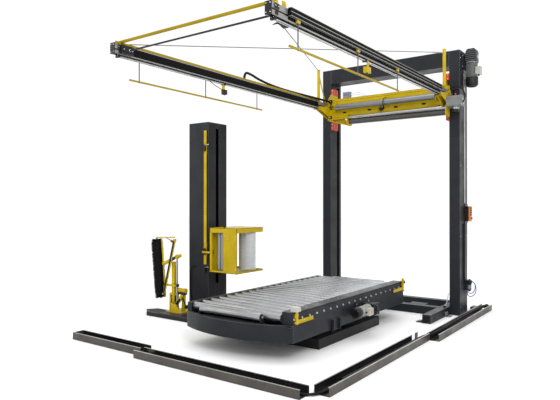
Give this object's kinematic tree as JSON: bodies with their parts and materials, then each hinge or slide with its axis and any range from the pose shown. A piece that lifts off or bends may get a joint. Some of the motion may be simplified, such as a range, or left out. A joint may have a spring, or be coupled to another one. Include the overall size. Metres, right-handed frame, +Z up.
{
  "type": "turntable pallet wrapper",
  "caption": "Roller-conveyor turntable with a film mast and pre-stretch carriage, a film cut and wipe unit, and a gantry that lays a top sheet over the load.",
  "frame": {"origin": "turntable's rotation centre on the floor, the middle of the base frame's resting face", "axes": "+Z up, along the turntable's axis of rotation; +Y along the pallets' travel, towards the gantry; +X along the roller axles, away from the film mast"},
  "size_m": [3.946, 4.92, 3.73],
  "materials": {
    "charcoal": "powder coated charcoal",
    "yellow": "powder coated machine yellow",
    "zinc": "zinc plated",
    "duct_steel": "galvanised",
    "black_plastic": "moulded",
    "motor_grey": "grey enamel",
    "cream": "cream enamel",
    "profile": "anodised",
    "orange": "orange-red",
    "red_plastic": "moulded",
    "film_clear": "stretch film",
    "sheet_film": "rolled film",
    "roller_rubber": "grey rubber",
    "cable_black": "sheathed",
    "bolt": "zinc plated"
  },
  "bodies": {
    "floor_frame": {"turntable_base": "charcoal", "slewing_ring": "zinc", "table_gearmotor": "motor_grey", "mast_base_frame": "charcoal", "mast_column": "charcoal", "mast_switch_rail": "yellow", "clamp_stand": "yellow", "gantry_base": "charcoal", "gantry_column_left": "charcoal", "gantry_column_right": "charcoal", "gantry_top_beam": "charcoal", "lift_gearmotor": "motor_grey", "control_station": "orange", "cable_ducts": "duct_steel", "duct_cable": "cable_black", "frame_bolts": "bolt"},
    "turntable": {"table_frame": "charcoal", "table_side_right": "charcoal", "roller_axles": "bolt", "conveyor_gearmotor": "cream", "sensor_brackets": "yellow"},
    "film_carriage": {"film_carriage": "yellow"},
    "stretch_roller_1": {"stretch_roller_1": "roller_rubber"},
    "stretch_roller_2": {"stretch_roller_2": "roller_rubber"},
    "film_roll": {"film_roll": "film_clear"},
    "wiper_arm": {"wiper_arm": "yellow"},
    "clamp_arm": {"clamp_arm": "yellow"},
    "sheet_carriage": {"sheet_carriage": "yellow", "guide_blocks": "orange", "carriage_gearbox": "motor_grey", "boom_left": "profile", "boom_right": "profile", "boom_bracing": "yellow", "boom_conduit": "cable_black"},
    "spreader_roller": {"spreader_roller": "zinc"},
    "sheet_film_roll": {"sheet_film_roll": "sheet_film"},
    "sheet_gripper": {"sheet_gripper": "black_plastic"},
    "estop_button": {"estop_button": "red_plastic"},
    "end_roller_near": {"end_roller_near": "zinc"},
    "end_roller_far": {"end_roller_far": "zinc"},
    "roller_01": {"roller_01": "zinc"},
    "roller_02": {"roller_02": "zinc"},
    "roller_03": {"roller_03": "zinc"},
    "roller_04": {"roller_04": "zinc"},
    "roller_05": {"roller_05": "zinc"},
    "roller_06": {"roller_06": "zinc"},
    "roller_07": {"roller_07": "zinc"},
    "roller_08": {"roller_08": "zinc"},
    "roller_09": {"roller_09": "zinc"},
    "roller_10": {"roller_10": "zinc"},
    "roller_11": {"roller_11": "zinc"},
    "roller_12": {"roller_12": "zinc"},
    "roller_13": {"roller_13": "zinc"},
    "roller_14": {"roller_14": "zinc"},
    "roller_15": {"roller_15": "zinc"},
    "roller_16": {"roller_16": "zinc"},
    "roller_17": {"roller_17": "zinc"},
    "roller_18": {"roller_18": "zinc"},
    "roller_19": {"roller_19": "zinc"},
    "roller_20": {"roller_20": "zinc"}
  },
  "joints": [
    {"name": "turntable_spin", "type": "hinge", "parent": "floor_frame", "child": "turntable", "pos_m": [0, 0, 0], "axis": [0, 0, 1], "continuous": true},
    {"name": "roller_01_spin", "type": "hinge", "parent": "turntable", "child": "roller_01", "pos_m": [0, -1.31575, 0.43], "axis": [1, 0, 0], "continuous": true},
    {"name": "roller_02_spin", "type": "hinge", "parent": "turntable", "child": "roller_02", "pos_m": [0, -1.17725, 0.43], "axis": [1, 0, 0], "continuous": true},
    {"name": "roller_03_spin", "type": "hinge", "parent": "turntable", "child": "roller_03", "pos_m": [0, -1.03875, 0.43], "axis": [1, 0, 0], "continuous": true},
    {"name": "roller_04_spin", "type": "hinge", "parent": "turntable", "child": "roller_04", "pos_m": [0, -0.90025, 0.43], "axis": [1, 0, 0], "continuous": true},
    {"name": "roller_05_spin", "type": "hinge", "parent": "turntable", "child": "roller_05", "pos_m": [0, -0.76175, 0.43], "axis": [1, 0, 0], "continuous": true},
    {"name": "roller_06_spin", "type": "hinge", "parent": "turntable", "child": "roller_06", "pos_m": [0, -0.62325, 0.43], "axis": [1, 0, 0], "continuous": true},
    {"name": "roller_07_spin", "type": "hinge", "parent": "turntable", "child": "roller_07", "pos_m": [0, -0.48475, 0.43], "axis": [1, 0, 0], "continuous": true},
    {"name": "roller_08_spin", "type": "hinge", "parent": "turntable", "child": "roller_08", "pos_m": [0, -0.34625, 0.43], "axis": [1, 0, 0], "continuous": true},
    {"name": "roller_09_spin", "type": "hinge", "parent": "turntable", "child": "roller_09", "pos_m": [0, -0.20775, 0.43], "axis": [1, 0, 0], "continuous": true},
    {"name": "roller_10_spin", "type": "hinge", "parent": "turntable", "child": "roller_10", "pos_m": [0, -0.06925, 0.43], "axis": [1, 0, 0], "continuous": true},
    {"name": "roller_11_spin", "type": "hinge", "parent": "turntable", "child": "roller_11", "pos_m": [0, 0.06925, 0.43], "axis": [1, 0, 0], "continuous": true},
    {"name": "roller_12_spin", "type": "hinge", "parent": "turntable", "child": "roller_12", "pos_m": [0, 0.20775, 0.43], "axis": [1, 0, 0], "continuous": true},
    {"name": "roller_13_spin", "type": "hinge", "parent": "turntable", "child": "roller_13", "pos_m": [0, 0.34625, 0.43], "axis": [1, 0, 0], "continuous": true},
    {"name": "roller_14_spin", "type": "hinge", "parent": "turntable", "child": "roller_14", "pos_m": [0, 0.48475, 0.43], "axis": [1, 0, 0], "continuous": true},
    {"name": "roller_15_spin", "type": "hinge", "parent": "turntable", "child": "roller_15", "pos_m": [0, 0.62325, 0.43], "axis": [1, 0, 0], "continuous": true},
    {"name": "roller_16_spin", "type": "hinge", "parent": "turntable", "child": "roller_16", "pos_m": [0, 0.76175, 0.43], "axis": [1, 0, 0], "continuous": true},
    {"name": "roller_17_spin", "type": "hinge", "parent": "turntable", "child": "roller_17", "pos_m": [0, 0.90025, 0.43], "axis": [1, 0, 0], "continuous": true},
    {"name": "roller_18_spin", "type": "hinge", "parent": "turntable", "child": "roller_18", "pos_m": [0, 1.03875, 0.43], "axis": [1, 0, 0], "continuous": true},
    {"name": "roller_19_spin", "type": "hinge", "parent": "turntable", "child": "roller_19", "pos_m": [0, 1.17725, 0.43], "axis": [1, 0, 0], "continuous": true},
    {"name": "roller_20_spin", "type": "hinge", "parent": "turntable", "child": "roller_20", "pos_m": [0, 1.31575, 0.43], "axis": [1, 0, 0], "continuous": true},
    {"name": "end_roller_near_spin", "type": "hinge", "parent": "turntable", "child": "end_roller_near", "pos_m": [0, -1.40775, 0.43], "axis": [1, 0, 0], "continuous": true},
    {"name": "end_roller_far_spin", "type": "hinge", "parent": "turntable", "child": "end_roller_far", "pos_m": [0, 1.40775, 0.43], "axis": [1, 0, 0], "continuous": true},
    {"name": "film_lift", "type": "slide", "parent": "floor_frame", "child": "film_carriage", "axis": [0, 0, 1], "range_m": [-0.02, 1.35]},
    {"name": "stretch_roller_1_spin", "type": "hinge", "parent": "film_carriage", "child": "stretch_roller_1", "pos_m": [-1.318, -0.105, 0.9], "axis": [0, 0, 1], "continuous": true},
    {"name": "stretch_roller_2_spin", "type": "hinge", "parent": "film_carriage", "child": "stretch_roller_2", "pos_m": [-1.259, -0.105, 0.9], "axis": [0, 0, 1], "continuous": true},
    {"name": "film_roll_spin", "type": "hinge", "parent": "film_carriage", "child": "film_roll", "pos_m": [-1.095, 0.22, 0.9], "axis": [0, 0, 1], "continuous": true},
    {"name": "wiper_swing", "type": "hinge", "parent": "floor_frame", "child": "wiper_arm", "pos_m": [-1.861, -0.38, 0.8], "axis": [0, 0, 1], "range_deg": [0, 140]},
    {"name": "clamp_swing", "type": "hinge", "parent": "wiper_arm", "child": "clamp_arm", "pos_m": [-2.066, -0.441, 0.291], "axis": [0, 1, 0], "range_deg": [-6, 20]},
    {"name": "sheet_lift", "type": "slide", "parent": "floor_frame", "child": "sheet_carriage", "axis": [0, 0, 1], "range_m": [-1.9, 0.08]},
    {"name": "spreader_spin", "type": "hinge", "parent": "sheet_carriage", "child": "spreader_roller", "pos_m": [0.2, 1.672, 3.038], "axis": [1, 0, 0], "continuous": true},
    {"name": "sheet_roll_spin", "type": "hinge", "parent": "sheet_carriage", "child": "sheet_film_roll", "pos_m": [0.2, 1.735, 2.815], "axis": [1, 0, 0], "continuous": true},
    {"name": "gripper_travel", "type": "slide", "parent": "sheet_carriage", "child": "sheet_gripper", "axis": [0, 1, 0], "range_m": [0, 3.4]},
    {"name": "stop_press", "type": "slide", "parent": "floor_frame", "child": "estop_button", "axis": [1, 0, 0], "range_m": [-0.004, 0], "stiffness_N_per_m": 600}
  ],
  "couplings": [
    {"joint": "roller_02_spin", "follows": "roller_01_spin", "ratio": 1},
    {"joint": "roller_03_spin", "follows": "roller_01_spin", "ratio": 1},
    {"joint": "roller_04_spin", "follows": "roller_01_spin", "ratio": 1},
    {"joint": "roller_05_spin", "follows": "roller_01_spin", "ratio": 1},
    {"joint": "roller_06_spin", "follows": "roller_01_spin", "ratio": 1},
    {"joint": "roller_07_spin", "follows": "roller_01_spin", "ratio": 1},
    {"joint": "roller_08_spin", "follows": "roller_01_spin", "ratio": 1},
    {"joint": "roller_09_spin", "follows": "roller_01_spin", "ratio": 1},
    {"joint": "roller_10_spin", "follows": "roller_01_spin", "ratio": 1},
    {"joint": "roller_11_spin", "follows": "roller_01_spin", "ratio": 1},
    {"joint": "roller_12_spin", "follows": "roller_01_spin", "ratio": 1},
    {"joint": "roller_13_spin", "follows": "roller_01_spin", "ratio": 1},
    {"joint": "roller_14_spin", "follows": "roller_01_spin", "ratio": 1},
    {"joint": "roller_15_spin", "follows": "roller_01_spin", "ratio": 1},
    {"joint": "roller_16_spin", "follows": "roller_01_spin", "ratio": 1},
    {"joint": "roller_17_spin", "follows": "roller_01_spin", "ratio": 1},
    {"joint": "roller_18_spin", "follows": "roller_01_spin", "ratio": 1},
    {"joint": "roller_19_spin", "follows": "roller_01_spin", "ratio": 1},
    {"joint": "roller_20_spin", "follows": "roller_01_spin", "ratio": 1},
    {"joint": "stretch_roller_2_spin", "follows": "stretch_roller_1_spin", "ratio": -1}
  ]
}
